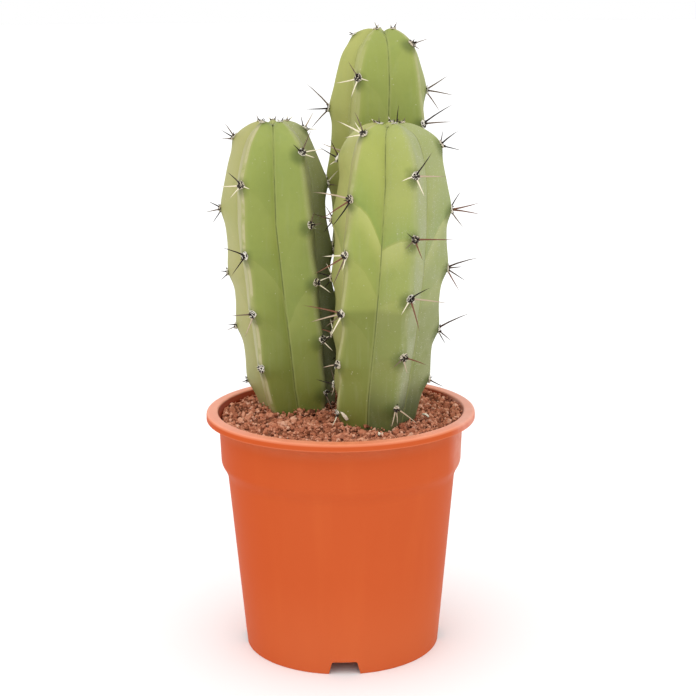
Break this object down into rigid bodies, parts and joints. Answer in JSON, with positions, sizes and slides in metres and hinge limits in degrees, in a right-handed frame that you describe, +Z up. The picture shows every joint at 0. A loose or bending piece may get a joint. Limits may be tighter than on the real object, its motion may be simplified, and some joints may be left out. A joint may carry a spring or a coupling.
{
  "type": "potted cactus",
  "caption": "Ribbed columnar cactus stems with felted areoles and short spines, standing in gritty soil in a round tapered plastic nursery pot with a collar and a rolled lip.",
  "frame": {"origin": "on the pot's axis, at the underside of its foot ring", "axes": "+Z up along the pot's axis, -Y towards the viewer of the picture, +X to the viewer's right"},
  "size_m": [0.1725, 0.1717, 0.3975],
  "materials": {
    "pot": "orange injection-moulded plastic with a soft sheen",
    "soil": "dry, loose, gritty reddish-brown potting mix",
    "stem": "matt waxy green plant skin, with cream felt areoles and dark to pale spines"
  },
  "bodies": {
    "root": {"pot": "pot", "soil": "soil", "stem_front": "stem", "stem_left": "stem", "stem_back": "stem"}
  },
  "joints": []
}
